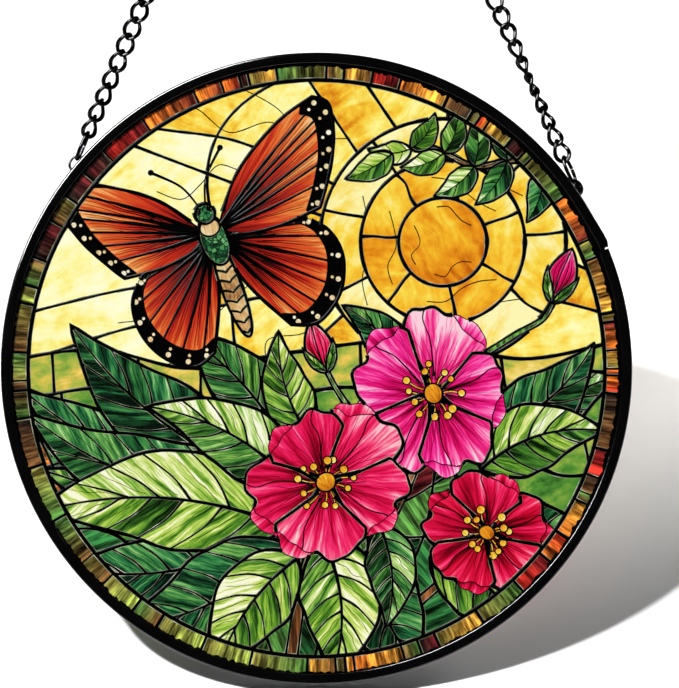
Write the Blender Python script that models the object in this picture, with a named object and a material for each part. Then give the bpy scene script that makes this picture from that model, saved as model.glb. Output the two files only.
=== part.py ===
"""A round suncatcher: one printed glass pane in a black metal channel, hung on two strands of black curb
chain that meet in a small ring.

Metres, +Z up. The pane stands in the XZ plane and its face looks along -Y. The origin is the highest point
inside the hanging ring, where a hook bears. Angles round the pane start at +X and grow towards +Z.
"""

import math

import bmesh
import bpy
from mathutils import Matrix, Vector

MM = 0.001

# The pane and its channel
FRAME_RADIUS = 100 * MM
FACE_WIDTH = 3.3 * MM
FRAME_DEPTH = 4.8 * MM
WEB_THICKNESS = 0.7 * MM
FLANGE_THICKNESS = 0.6 * MM
CORNER = 0.5 * MM
JOINT_ANGLE = math.radians(22.5)
JOINT_GAP = 0.4 * MM
JOINT_SPRING = 0.8 * MM
PANE_RADIUS = 98.9 * MM
PANE_THICKNESS = 3 * MM
PANE_EDGE = 0.4 * MM
ROUND_STEPS = 80

# The eyelets on the channel, and the jump links in them
EYELET_LEFT_ANGLE = math.radians(139.5)
EYELET_RIGHT_ANGLE = math.radians(34.9)
EYELET_WIRE = 0.9 * MM
EYELET_HALF_LENGTH = 2.5 * MM
EYELET_HEIGHT = 1.9 * MM
FIT_GAP = 0.3 * MM
JUMP_WIRE = 1.05 * MM
JUMP_HALF_LENGTH = 4.6 * MM
JUMP_HALF_WIDTH = 2.1 * MM
JUMP_MOUTH = 0.3 * MM
JUMP_WALL_GAP = 0.35 * MM
JUMP_ALONG_EYELET = 1.1 * MM

# The chain: half sizes are those of a link's centre line
LINK_WIRE = 1.3 * MM
LINK_HALF_LENGTH = 3.49 * MM
LINK_HALF_WIDTH = 2.42 * MM
LINK_TWIST = math.radians(45)
LINK_STEPS = 8
# How far each strand's jump link, its first chain links and its last one are turned about it, in degrees
LEFT_JUMP_TURN = 83
RIGHT_JUMP_TURN = 62
LEFT_TURNS = (54, 46, 43, 41, 28, 14, 18, 6, -8)
RIGHT_TURNS = (26, 42, 56, 67, 82, 104, 120, 136, 148, 158, 166, 172)
LEFT_LAST_TURN = -135
RIGHT_LAST_TURN = 225

# The hanging ring
RING_RADIUS = 6.2 * MM
RING_WIRE = 1.6 * MM
RING_STEPS = 28
RING_TO_PANE = 245 * MM

RING_CENTRE = Vector((0, 0, -(RING_RADIUS - RING_WIRE / 2)))
PANE_CENTRE = RING_CENTRE - Vector((0, 0, RING_TO_PANE))
ANTICLOCKWISE = Vector((0, -1, 0))
# A square wire with the area of the round one, measured from its centre to a corner
SQUARE_LINK_CORNER = LINK_WIRE / 2 * math.sqrt(math.pi / 2)


def clear_scene():
    for found in list(bpy.data.objects):
        bpy.data.objects.remove(found, do_unlink=True)


def finish(name, colour, roughness, metallic):
    """A Principled material of one colour."""
    made = bpy.data.materials.new(name)
    made.use_nodes = True
    shader = made.node_tree.nodes["Principled BSDF"]
    shader.inputs["Base Color"].default_value = (*colour, 1)
    shader.inputs["Roughness"].default_value = roughness
    shader.inputs["Metallic"].default_value = metallic
    return made


def node(name, shape, material, matrix):
    """Turns a bmesh into the named object, placed by the matrix, and frees the bmesh."""
    bmesh.ops.recalc_face_normals(shape, faces=shape.faces)
    mesh = bpy.data.meshes.new(name)
    shape.to_mesh(mesh)
    shape.free()
    mesh.shade_smooth()
    mesh.set_sharp_from_angle(angle=math.radians(40))
    mesh.materials.append(material)
    made = bpy.data.objects.new(name, mesh)
    bpy.context.scene.collection.objects.link(made)
    made.matrix_world = matrix
    return made


def bent_wire(half_length, half_width, radius, sides, steps, start=0.0, sweep=2 * math.pi):
    """A round wire bent in its own XY plane along an oval, long in X. A sweep short of a full turn has flat ends."""
    shape = bmesh.new()
    full = abs(sweep - 2 * math.pi) < 1e-6
    bmesh.ops.create_circle(shape, segments=sides, radius=radius, cap_ends=not full)
    upright = Matrix.Rotation(math.pi / 2, 4, "X")
    out = Matrix.Translation((half_width, 0, 0))
    turn = Matrix.Rotation(start, 4, "Z")
    bmesh.ops.transform(shape, matrix=turn @ out @ upright, verts=shape.verts)
    bmesh.ops.spin(
        shape,
        geom=shape.faces[:] + shape.edges[:] + shape.verts[:],
        cent=(0, 0, 0),
        axis=(0, 0, 1),
        angle=sweep,
        steps=steps,
        use_merge=full,
    )
    for vert in shape.verts:
        around = math.atan2(vert.co.y, vert.co.x)
        vert.co.x += (half_length - half_width) * math.cos(around)
    return shape


def channel(material):
    """The black U channel that is bent round the pane and cut off where its two ends meet."""
    outer, inner = FRAME_RADIUS, FRAME_RADIUS - FACE_WIDTH
    back, slot = FRAME_DEPTH / 2, FRAME_DEPTH / 2 - FLANGE_THICKNESS
    upper_half = [
        (inner, back),
        (outer - CORNER, back),
        (outer, back - CORNER),
    ]
    inside = [(outer - WEB_THICKNESS, slot), (inner, slot)]
    section = upper_half + [(r, -y) for r, y in reversed(upper_half)]
    section += [(r, -y) for r, y in reversed(inside)] + inside

    half_gap = JOINT_GAP / 2 / FRAME_RADIUS
    start = JOINT_ANGLE + half_gap
    shape = bmesh.new()
    shape.faces.new([shape.verts.new((r, y, 0)) for r, y in section])
    bmesh.ops.rotate(shape, matrix=Matrix.Rotation(start, 3, ANTICLOCKWISE), verts=shape.verts)
    bmesh.ops.spin(
        shape,
        geom=shape.faces[:] + shape.edges[:] + shape.verts[:],
        cent=(0, 0, 0),
        axis=ANTICLOCKWISE,
        angle=2 * math.pi - 2 * half_gap,
        steps=ROUND_STEPS,
    )
    # The upper end of the strip has sprung a little outwards.
    first_step = 2 * math.pi / ROUND_STEPS
    for vert in shape.verts:
        past_joint = math.atan2(vert.co.z, vert.co.x) - start
        if -half_gap < past_joint < first_step / 2:
            flat = Vector((vert.co.x, 0, vert.co.z))
            vert.co += flat.normalized() * JOINT_SPRING
    return node("frame_ring", shape, material, Matrix.Translation(PANE_CENTRE))


def pane(material):
    """The printed glass disc, with its sharp edges taken off."""
    shape = bmesh.new()
    bmesh.ops.create_cone(
        shape,
        cap_ends=True,
        segments=ROUND_STEPS,
        radius1=PANE_RADIUS,
        radius2=PANE_RADIUS,
        depth=PANE_THICKNESS,
        matrix=Matrix.Rotation(math.pi / 2, 4, "X"),
    )
    rim = [edge for edge in shape.edges if any(len(face.verts) > 4 for face in edge.link_faces)]
    bmesh.ops.bevel(
        shape, geom=rim, offset=PANE_EDGE, segments=1, profile=0.5, affect="EDGES", material=-1
    )
    return node("pane", shape, material, Matrix.Translation(PANE_CENTRE))


def on_rim(angle, above):
    """A point this far outside the channel's outer wall."""
    out = Vector((math.cos(angle), 0, math.sin(angle)))
    return PANE_CENTRE + out * (FRAME_RADIUS + above)


def eyelet(name, angle, material):
    """A short arch of wire whose two feet stand on the channel's outer wall."""
    shape = bent_wire(
        EYELET_HALF_LENGTH, EYELET_HEIGHT, EYELET_WIRE / 2, 6, 10, start=0, sweep=math.pi
    )
    out = Vector((math.cos(angle), 0, math.sin(angle)))
    along = Vector((out.z, 0, -out.x))
    turned = Matrix((along, out, along.cross(out))).transposed().to_4x4()
    return node(name, shape, material, Matrix.Translation(on_rim(angle, FIT_GAP)) @ turned)


class Strand:
    """One straight strand, from its eyelet up to the ring. Its own X runs up the strand and its Z faces the viewer."""

    def __init__(self, eyelet_angle, uphill, turns, last_turn):
        """uphill is 1 where the strand pulls towards growing angles along the eyelet, and -1 where it doesn't.
        turns are those of the first links, and the rest turn evenly from there to the last one."""
        above = JUMP_WALL_GAP + JUMP_WIRE / 2
        angle = eyelet_angle + uphill * JUMP_ALONG_EYELET / FRAME_RADIUS
        self.foot = on_rim(angle, above)
        rise = RING_CENTRE - self.foot
        self.direction = rise.normalized()
        first = 2 * JUMP_HALF_LENGTH - (JUMP_WIRE + LINK_WIRE) / 2 - FIT_GAP + LINK_HALF_LENGTH
        in_ring = RING_RADIUS - (RING_WIRE + LINK_WIRE) / 2 - FIT_GAP
        last = rise.length - in_ring - LINK_HALF_LENGTH
        # The whole number of pitches that comes nearest to links pulled tight
        tight = 2 * LINK_HALF_LENGTH - LINK_WIRE
        steps = round((last - first) / tight)
        pitch = (last - first) / steps
        turning = steps + 1 - len(turns)
        turns += tuple(turns[-1] + (last_turn - turns[-1]) * (n + 1) / turning for n in range(turning))
        # (distance up the strand, turn about it) of each link's middle
        self.links = [(first + n * pitch, math.radians(turn)) for n, turn in enumerate(turns)]

    def matrix(self):
        facing = Vector((0, -1, 0))
        sideways = facing.cross(self.direction)
        axes = Matrix((self.direction, sideways, facing)).transposed().to_4x4()
        return Matrix.Translation(self.foot) @ axes


def curb_link(along, turn):
    """A link whose two ends are twisted opposite ways, so that each passes squarely through its neighbour.
    The flats of its outline, and not the corners, lie on the oval, so that two links touch flat to flat."""
    corner = 1 / math.cos(math.pi / LINK_STEPS)
    shape = bent_wire(
        LINK_HALF_LENGTH * corner,
        LINK_HALF_WIDTH * corner,
        SQUARE_LINK_CORNER,
        4,
        LINK_STEPS,
        start=math.pi / LINK_STEPS,
    )
    for vert in shape.verts:
        twist = LINK_TWIST * vert.co.x / LINK_HALF_LENGTH
        vert.co.rotate(Matrix.Rotation(turn + twist, 3, "X"))
        vert.co.x += along
    return shape


def joined(shapes):
    """Several bmeshes in one."""
    whole = bmesh.new()
    for shape in shapes:
        mesh = bpy.data.meshes.new("link")
        shape.to_mesh(mesh)
        shape.free()
        whole.from_mesh(mesh)
        bpy.data.meshes.remove(mesh)
    return whole


def chain(name, strand, material):
    """Every second link is one mesh and the rest are another, and a union makes one body of them where they touch."""
    links = [curb_link(along, turn) for along, turn in strand.links]
    made = node(name, joined(links[0::2]), material, strand.matrix())
    others = node(name + "_other_links", joined(links[1::2]), material, strand.matrix())
    others.hide_render = True
    others.display_type = "WIRE"
    union = made.modifiers.new("links touch", "BOOLEAN")
    union.operation = "UNION"
    union.solver = "EXACT"
    union.object = others
    return made


def jump_link(name, strand, turn, material):
    """An oval link that joins the chain to its eyelet. It stands nearly edge-on, with its mouth at the back."""
    half_mouth = JUMP_MOUTH / 2 / JUMP_HALF_WIDTH
    shape = bent_wire(
        JUMP_HALF_LENGTH,
        JUMP_HALF_WIDTH,
        JUMP_WIRE / 2,
        6,
        14,
        start=half_mouth - math.pi / 2,
        sweep=2 * (math.pi - half_mouth),
    )
    place = Matrix.Translation((JUMP_HALF_LENGTH, 0, 0)) @ Matrix.Rotation(math.radians(turn), 4, "X")
    return node(name, shape, material, strand.matrix() @ place)


def hanging_ring(material):
    shape = bent_wire(RING_RADIUS, RING_RADIUS, RING_WIRE / 2, 8, RING_STEPS)
    upright = Matrix.Rotation(math.pi / 2, 4, "X")
    return node("hang_ring", shape, material, Matrix.Translation(RING_CENTRE) @ upright)


def suncatcher():
    clear_scene()
    paint = finish("black frame paint", (0.012, 0.012, 0.013), 0.38, 0.0)
    plating = finish("black chain plating", (0.015, 0.015, 0.016), 0.24, 0.7)
    print_on_glass = finish("printed glass", (0.52, 0.47, 0.14), 0.12, 0.0)
    channel(paint)
    pane(print_on_glass)
    hanging_ring(plating)
    sides = (
        ("left", EYELET_LEFT_ANGLE, -1, LEFT_JUMP_TURN, LEFT_TURNS, LEFT_LAST_TURN),
        ("right", EYELET_RIGHT_ANGLE, 1, RIGHT_JUMP_TURN, RIGHT_TURNS, RIGHT_LAST_TURN),
    )
    for side, angle, uphill, jump_turn, turns, last_turn in sides:
        strand = Strand(angle, uphill, turns, last_turn)
        eyelet("eyelet_" + side, angle, paint)
        jump_link("jump_link_" + side, strand, jump_turn, plating)
        chain("chain_" + side, strand, plating)


suncatcher()
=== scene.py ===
import math
import random
from types import SimpleNamespace

import bmesh
import bpy
from mathutils import Matrix, Vector, noise
from mathutils.geometry import delaunay_2d_cdt


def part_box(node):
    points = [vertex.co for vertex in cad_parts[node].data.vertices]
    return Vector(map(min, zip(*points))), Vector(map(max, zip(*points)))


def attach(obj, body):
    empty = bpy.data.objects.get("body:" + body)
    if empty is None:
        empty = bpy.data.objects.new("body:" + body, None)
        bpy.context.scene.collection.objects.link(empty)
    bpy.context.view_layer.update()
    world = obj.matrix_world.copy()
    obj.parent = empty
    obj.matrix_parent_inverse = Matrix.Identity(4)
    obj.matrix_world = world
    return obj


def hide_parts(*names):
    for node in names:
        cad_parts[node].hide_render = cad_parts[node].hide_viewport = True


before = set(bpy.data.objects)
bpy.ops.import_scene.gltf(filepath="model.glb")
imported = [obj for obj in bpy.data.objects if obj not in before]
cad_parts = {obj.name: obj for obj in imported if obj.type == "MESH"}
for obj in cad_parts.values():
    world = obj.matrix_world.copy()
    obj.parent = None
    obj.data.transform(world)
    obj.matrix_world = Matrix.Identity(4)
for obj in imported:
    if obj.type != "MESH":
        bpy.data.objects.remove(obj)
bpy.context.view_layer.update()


# --------------------------------------
# Camera, light and ground
# The suncatcher is looked at square on, with a long lens, from the height of its pane. It hangs just
# over pale ground that rises behind it, in a soft key light from the upper left and low fill light.

MM = 0.001
pane_low, pane_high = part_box("pane")
pane_centre = (pane_low + pane_high) / 2

LENS = 150.0
SENSOR = 36.0
VIEW_HEIGHT = 218.2 * MM
AIM_RIGHT = 7.3 * MM
AIM_UP = 7.7 * MM

scene = bpy.context.scene


def new_object(name, data):
    made = bpy.data.objects.new(name, data)
    scene.collection.objects.link(made)
    return made


camera = new_object("camera", bpy.data.cameras.new("camera"))
camera.data.lens = LENS
camera.data.sensor_width = SENSOR
camera.location = pane_centre + Vector((AIM_RIGHT, -VIEW_HEIGHT * LENS / SENSOR, AIM_UP))
camera.rotation_euler = (math.radians(90), 0, 0)
scene.camera = camera
scene.view_settings.view_transform = "Standard"

KEY_DIRECTION = Vector((0.557, 0.483, -0.676))
KEY_STRENGTH = 6.2
BACK_DIRECTION = Vector((0.0, -1.0, 0.05))
BACK_STRENGTH = 1.5
SUN_ANGLE = math.radians(4)
SPOT_PLACE = Vector((0.35, 0.02, 0.20))
SPOT_TARGET = Vector((0.13, 0.062, 0.0))
SPOT_POWER = 8.0
SPOT_ANGLE = math.radians(27)
SPOT_SIZE = 0.05
STRIP_PLACE = Vector((-0.52, -0.86, 0.63))
STRIP_TURN = math.radians(60)
STRIP_LENGTH = 0.9
STRIP_WIDTH = 0.2
STRIP_WATTS_PER_AREA = 420.0
FILL_LIGHT = 0.04
GLOSS_LIGHT = 0.03
WHITE = (1, 1, 1, 1)


def lamp(name, kind, place, direction, turn=0.0, hidden_from=(), **settings):
    """A lamp this far from the pane's centre, whose light travels in this direction."""
    data = bpy.data.lights.new(name, kind)
    for key, value in settings.items():
        setattr(data, key, value)
    made = new_object(name, data)
    made.location = pane_centre + place
    facing = direction.to_track_quat("-Z", "Y").to_matrix()
    made.rotation_euler = (facing @ Matrix.Rotation(turn, 3, "Z")).to_euler()
    for rays in hidden_from:
        setattr(made, "visible_" + rays, False)


# The two broad lamps show in no highlight. The strip draws the highlights, and lights nothing else.
sun_lamp = dict(kind="SUN", place=Vector(), hidden_from=["glossy"], angle=SUN_ANGLE)
lamp("key light", direction=KEY_DIRECTION, energy=KEY_STRENGTH, **sun_lamp)
lamp("back light", direction=BACK_DIRECTION, energy=BACK_STRENGTH, **sun_lamp)
strip = dict(shape="RECTANGLE", size=STRIP_LENGTH, size_y=STRIP_WIDTH)
strip["energy"] = STRIP_WATTS_PER_AREA * STRIP_LENGTH * STRIP_WIDTH
lamp("high strip light", "AREA", STRIP_PLACE, -STRIP_PLACE, STRIP_TURN, ["diffuse", "camera"], **strip)
# A small lamp off to the right lightens the far end of the shadow on the ground.
spot = dict(energy=SPOT_POWER, spot_size=SPOT_ANGLE, spot_blend=1.0, shadow_soft_size=SPOT_SIZE)
lamp("spot light", "SPOT", SPOT_PLACE, SPOT_TARGET - SPOT_PLACE, **spot)


def add(tree, kind, inputs=None, **settings):
    """A shader node with these settings. An input that is a socket is linked, and any other is set."""
    made = tree.nodes.new("ShaderNode" + kind)
    for key, value in settings.items():
        setattr(made, key, value)
    for key, value in (inputs or {}).items():
        if isinstance(value, bpy.types.NodeSocket):
            tree.links.new(value, made.inputs[key])
        else:
            made.inputs[key].default_value = value
    return made


world = bpy.data.worlds.new("studio")
world.use_nodes = True
world.node_tree.nodes.clear()
light_path = add(world.node_tree, "LightPath").outputs
studio = add(world.node_tree, "Background", {"Color": WHITE, "Strength": FILL_LIGHT}).outputs[0]
for ray, strength in (("Is Glossy Ray", GLOSS_LIGHT), ("Is Camera Ray", 1.0)):
    other = add(world.node_tree, "Background", {"Color": WHITE, "Strength": strength}).outputs[0]
    studio = add(world.node_tree, "MixShader", {0: light_path[ray], 1: studio, 2: other}).outputs[0]
add(world.node_tree, "OutputWorld", {"Surface": studio})
scene.world = world


def from_bmesh(name, shape, material):
    """An object with this mesh and material. The bmesh is freed."""
    mesh = bpy.data.meshes.new(name)
    shape.to_mesh(mesh)
    shape.free()
    mesh.materials.append(material)
    return new_object(name, mesh)


GROUND_GAP = 0.4 * MM
GROUND_SLOPE = math.radians(58)
GROUND_SIZE = 6.0
GROUND_COLOUR = (0.93, 0.93, 0.93, 1)


def ground():
    """A wide sheet that slopes up from the front to the back, and just clears the channel's rear edge."""
    low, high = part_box("frame_ring")
    away = Vector((0, math.sin(GROUND_SLOPE), -math.cos(GROUND_SLOPE)))
    lowest = Vector((0, high.y, low.z)) + away * GROUND_GAP
    shape = bmesh.new()
    slope = Matrix.Translation(lowest) @ Matrix.Rotation(GROUND_SLOPE, 4, "X")
    bmesh.ops.create_grid(shape, x_segments=1, y_segments=1, size=GROUND_SIZE / 2, matrix=slope)
    material = bpy.data.materials.new("pale ground")
    material.use_nodes = True
    tree = material.node_tree
    tree.nodes.clear()
    matt = add(tree, "BsdfDiffuse", {"Color": GROUND_COLOUR}).outputs[0]
    clear = add(tree, "BsdfTransparent").outputs[0]
    from_below = add(tree, "NewGeometry").outputs["Backfacing"]
    both = add(tree, "MixShader", {0: from_below, 1: matt, 2: clear}).outputs[0]
    add(tree, "OutputMaterial", {"Surface": both})
    made = from_bmesh("ground", shape, material)


ground()


# --------------------------------------
# The channel
# A strip of steel rolled to a U and bent round the pane, then painted satin black. Its two ends meet
# on the right, where the upper one has sprung out a little.

FRAME_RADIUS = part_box("frame_ring")[1].x
FRAME_HALF_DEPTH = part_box("frame_ring")[1].y
FACE_WIDTH = 3.3 * MM
WEB_THICKNESS = 0.7 * MM
FLANGE_THICKNESS = 0.6 * MM
CORNER = 0.75 * MM
LIP_ROUNDING = 0.32 * MM
JOINT_ANGLE = math.radians(22.5)
JOINT_GAP = 0.4 * MM
JOINT_SPRING = 0.7 * MM
JOINT_SPRUNG_LENGTH = math.radians(7)
CHANNEL_STEPS = 300


def piece(name, shape, matrix, material, node, smooth=40):
    """Turns a bmesh into a finished piece in the node's place. The matrix takes it to the part's axes."""
    bmesh.ops.recalc_face_normals(shape, faces=shape.faces)
    bmesh.ops.transform(shape, matrix=matrix, verts=shape.verts)
    made = from_bmesh(name, shape, material)
    made.data.shade_smooth()
    made.data.set_sharp_from_angle(angle=math.radians(smooth))
    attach(made, "root")
    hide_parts(node)


def spin(shape, axis, angle, steps, merge=False):
    """Spins all of a bmesh about this axis. A full turn is merged where it meets itself."""
    bmesh.ops.spin(
        shape,
        geom=shape.faces[:] + shape.edges[:] + shape.verts[:],
        cent=(0, 0, 0),
        axis=axis,
        angle=angle,
        steps=steps,
        use_merge=merge,
    )


def finish(name, **values):
    """An empty Principled material with these plain values, and its node tree, shader and place."""
    made = bpy.data.materials.new(name)
    made.use_nodes = True
    tree = made.node_tree
    shader = tree.nodes["Principled BSDF"]
    for key, value in values.items():
        shader.inputs[key.replace("_", " ")].default_value = value
    return made, tree, shader, add(tree, "TexCoord").outputs["Object"]


def noise_at(tree, place, scale, detail=2.0, roughness=0.5):
    """A noise value over the surface, whose grains are 1 / scale metres across."""
    inputs = {"Vector": place, "Scale": scale, "Detail": detail, "Roughness": roughness}
    return add(tree, "TexNoise", inputs).outputs["Fac"]


def between(tree, value, low, high, new_low=0.0, new_high=1.0):
    """The value, stretched from one range to another and held inside it."""
    inputs = {"Value": value, "From Min": low, "From Max": high, "To Min": new_low, "To Max": new_high}
    return add(tree, "MapRange", inputs).outputs[0]


def ramp(tree, value, stops):
    """A colour from a ramp whose stops are (place, red, green, blue)."""
    made = add(tree, "ValToRGB", {0: value})
    elements = made.color_ramp.elements
    while len(elements) < len(stops):
        elements.new(0.5)
    for element, (at, *colour) in zip(elements, stops):
        element.position = at
        element.color = (*colour, 1)
    return made.outputs[0]


def bump(tree, shader, height, depth, strength):
    """Feeds a height from 0 to 1 to the shader's normal, as relief this deep."""
    made = add(tree, "Bump", {"Height": height, "Distance": depth, "Strength": strength})
    tree.links.new(made.outputs[0], shader.inputs["Normal"])


def coat(name, cloud, stops, gloss, grain, relief, **values):
    """A coat whose cloudy noise sets its colour and gloss, with relief from a second noise. gloss is a
    range of the cloud and the range of roughness that it gives. relief is a depth and a strength."""
    made, tree, shader, place = finish(name, **values)
    haze = noise_at(tree, place, *cloud)
    tree.links.new(ramp(tree, haze, stops), shader.inputs["Base Color"])
    tree.links.new(between(tree, haze, *gloss), shader.inputs["Roughness"])
    bump(tree, shader, noise_at(tree, place, *grain), *relief)
    return made


# A faint orange peel, a little dust, and thinner gloss where it is worn
paint = coat(
    "satin black paint",
    cloud=(90, 4),
    stops=[(0.4, 0.0004, 0.0004, 0.0006), (0.75, 0.0012, 0.0012, 0.0015)],
    gloss=(0.3, 0.7, 0.08, 0.12),
    grain=(1400, 3),
    relief=(0.008 * MM, 0.6),
    Specular_IOR_Level=0.5,
)


def channel():
    """The section is drawn once and spun all but once round, and its long edges are rounded."""
    outer, inner = FRAME_RADIUS, FRAME_RADIUS - FACE_WIDTH
    back, slot = FRAME_HALF_DEPTH, FRAME_HALF_DEPTH - FLANGE_THICKNESS
    upper_half = [(inner, slot), (inner, back), (outer, back)]
    section = upper_half + [(r, -y) for r, y in reversed(upper_half)]
    section += [(outer - WEB_THICKNESS, -slot), (outer - WEB_THICKNESS, slot)]
    half_gap = JOINT_GAP / 2 / FRAME_RADIUS
    start = JOINT_ANGLE + half_gap
    anticlockwise = Vector((0, -1, 0))
    shape = bmesh.new()
    shape.faces.new([shape.verts.new((r, y, 0)) for r, y in section])
    bmesh.ops.rotate(shape, matrix=Matrix.Rotation(start, 3, anticlockwise), verts=shape.verts)
    spin(shape, anticlockwise, 2 * math.pi - 2 * half_gap, CHANNEL_STEPS)
    for vert in shape.verts:
        past_joint = (math.atan2(vert.co.z, vert.co.x) - start) % (2 * math.pi)
        if past_joint < JOINT_SPRUNG_LENGTH:
            share = (1 + math.cos(math.pi * past_joint / JOINT_SPRUNG_LENGTH)) / 2
            vert.co += Vector((vert.co.x, 0, vert.co.z)).normalized() * JOINT_SPRING * share
    bmesh.ops.recalc_face_normals(shape, faces=shape.faces)

    def radius(vert):
        return math.hypot(vert.co.x, vert.co.z)

    def on_rim(edge, low, high):
        """Whether an edge runs along the channel, on its front or back face, between these radii."""
        first, last = edge.verts
        return (
            all(abs(abs(vert.co.y) - back) < 1e-6 and low < radius(vert) < high for vert in edge.verts)
            and first.co.y * last.co.y > 0
            and edge.calc_length() > CORNER
            and abs(radius(first) - radius(last)) < CORNER / 4
        )

    for rounding, low, high, segments in (
        (CORNER, outer - CORNER, math.inf, 5),
        (LIP_ROUNDING, 0, inner + CORNER, 3),
    ):
        edges = [edge for edge in shape.edges if on_rim(edge, low, high)]
        bmesh.ops.bevel(
            shape, geom=edges, offset=rounding, segments=segments, profile=0.5, affect="EDGES", material=-1
        )
    piece("channel", shape, Matrix.Translation(pane_centre), paint, "frame_ring")


channel()


# --------------------------------------
# The eyelets
# Two short arches of steel wire, soldered on the channel's outer wall before it was painted. Solder
# stands round their feet, and on the right it has filled the arch.

EYELET_LEFT_ANGLE = math.radians(139.5)
EYELET_RIGHT_ANGLE = math.radians(34.9)
EYELET_WIRE = 0.9 * MM
EYELET_HALF_LENGTH = 2.5 * MM
EYELET_HEIGHT = 1.9 * MM
EYELET_STAND_OFF = 0.15 * MM
FOOT_SOLDER = Vector((0.775, 0.496, 0.806)) * MM
ARCH_SOLDER = Vector((2.15, 1.62, 0.9)) * MM
ARCH_SOLDER_PLACE = Vector((0.55, 0.1, 0)) * MM


def bent_wire(half_length, half_width, radius, sides, steps, start=0.0, sweep=2 * math.pi):
    """A wire with this many sides, bent in this many steps along an oval in its own XY plane. A sweep
    short of a full turn has flat ends."""
    shape = bmesh.new()
    full = abs(sweep - 2 * math.pi) < 1e-6
    bmesh.ops.create_circle(shape, segments=sides, radius=radius, cap_ends=not full)
    upright = Matrix.Rotation(math.pi / 2, 4, "X")
    out = Matrix.Translation((half_width, 0, 0))
    turn = Matrix.Rotation(start, 4, "Z")
    bmesh.ops.transform(shape, matrix=turn @ out @ upright, verts=shape.verts)
    spin(shape, (0, 0, 1), sweep, steps, full)
    for vert in shape.verts:
        vert.co.x += (half_length - half_width) * math.cos(math.atan2(vert.co.y, vert.co.x))
    return shape


def lump(shape, at, half_sizes):
    """Adds a rounded lump of solder."""
    made = bmesh.ops.create_uvsphere(shape, u_segments=20, v_segments=12, radius=1.0)["verts"]
    bmesh.ops.scale(shape, vec=half_sizes, verts=made)
    bmesh.ops.translate(shape, vec=at, verts=made)


def eyelet(side, angle, filled):
    shape = bent_wire(EYELET_HALF_LENGTH, EYELET_HEIGHT, EYELET_WIRE / 2, 16, 32, sweep=math.pi)
    for foot in (-1, 1):
        lump(shape, (foot * EYELET_HALF_LENGTH, -EYELET_STAND_OFF, 0), FOOT_SOLDER)
    if filled:
        lump(shape, ARCH_SOLDER_PLACE, ARCH_SOLDER)
    out = Vector((math.cos(angle), 0, math.sin(angle)))
    along = Vector((out.z, 0, -out.x))
    turned = Matrix((along, out, along.cross(out))).transposed().to_4x4()
    place = Matrix.Translation(pane_centre + out * (FRAME_RADIUS + EYELET_STAND_OFF))
    piece("eyelet_" + side, shape, place @ turned, paint, "eyelet_" + side)


eyelet("left", EYELET_LEFT_ANGLE, False)
eyelet("right", EYELET_RIGHT_ANGLE, True)


# --------------------------------------
# The jump links
# Oval links of steel wire that join the chain to its eyelets. They were opened with pliers and closed
# again, so a fine slit is left at the back.

JUMP_WIRE = 1.05 * MM
JUMP_HALF_LENGTH = 4.6 * MM
JUMP_HALF_WIDTH = 2.1 * MM
JUMP_MOUTH = 0.05 * MM
JUMP_WALL_GAP = 0.35 * MM
JUMP_ALONG_EYELET = 1.1 * MM
LINK_WIRE = 1.3 * MM
PLATING_BUILD = 0.05 * MM
LINK_HALF_LENGTH = 3.49 * MM
LINK_HALF_WIDTH = 2.42 * MM
FIT_GAP = 0.3 * MM
RING_RADIUS = 6.2 * MM
RING_WIRE = 1.6 * MM
RING_CENTRE = Vector((0, 0, -(RING_RADIUS - RING_WIRE / 2)))
# How far each strand's jump link, its first chain links and its last one are turned about it, in degrees
LEFT_JUMP_TURN = 83
RIGHT_JUMP_TURN = 62
LEFT_TURNS = (54, 46, 43, 41, 28, 14, 18, 6, -8)
RIGHT_TURNS = (26, 42, 56, 67, 82, 104, 120, 136, 148, 158, 166, 172)
LEFT_LAST_TURN = -135
RIGHT_LAST_TURN = 225

# Dark plating on steel, with small hard highlights and a little wear
plating = coat(
    "glossy black plating",
    cloud=(700, 4, 0.6),
    stops=[(0.55, 0.022, 0.022, 0.024), (0.75, 0.055, 0.053, 0.050)],
    gloss=(0.35, 0.7, 0.04, 0.09),
    grain=(2600, 2),
    relief=(0.012 * MM, 0.5),
    Metallic=1.0,
    Specular_Tint=(0, 0, 0, 1),
)


class Strand:
    """One straight strand of chain. Its X runs up it, from the jump link's foot, and Z faces forward."""

    def __init__(self, eyelet_angle, uphill, jump_turn, turns, last_turn):
        self.jump_turn = math.radians(jump_turn)
        angle = eyelet_angle + uphill * JUMP_ALONG_EYELET / FRAME_RADIUS
        out = Vector((math.cos(angle), 0, math.sin(angle)))
        foot = pane_centre + out * (FRAME_RADIUS + JUMP_WALL_GAP + JUMP_WIRE / 2)
        rise = RING_CENTRE - foot
        up, facing = rise.normalized(), Vector((0, -1, 0))
        axes = Matrix((up, facing.cross(up), facing)).transposed().to_4x4()
        self.matrix = Matrix.Translation(foot) @ axes
        first = 2 * JUMP_HALF_LENGTH - (JUMP_WIRE + LINK_WIRE) / 2 - FIT_GAP + LINK_HALF_LENGTH
        in_ring = RING_RADIUS - (RING_WIRE + LINK_WIRE) / 2 - FIT_GAP
        last = rise.length - in_ring - LINK_HALF_LENGTH
        steps = round((last - first) / (2 * LINK_HALF_LENGTH - LINK_WIRE))
        pitch = (last - first) / steps
        turning = steps + 1 - len(turns)
        turns += tuple(turns[-1] + (last_turn - turns[-1]) * (n + 1) / turning for n in range(turning))
        self.links = [(first + n * pitch, math.radians(turn)) for n, turn in enumerate(turns)]


strands = {
    "left": Strand(EYELET_LEFT_ANGLE, -1, LEFT_JUMP_TURN, LEFT_TURNS, LEFT_LAST_TURN),
    "right": Strand(EYELET_RIGHT_ANGLE, 1, RIGHT_JUMP_TURN, RIGHT_TURNS, RIGHT_LAST_TURN),
}

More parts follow.
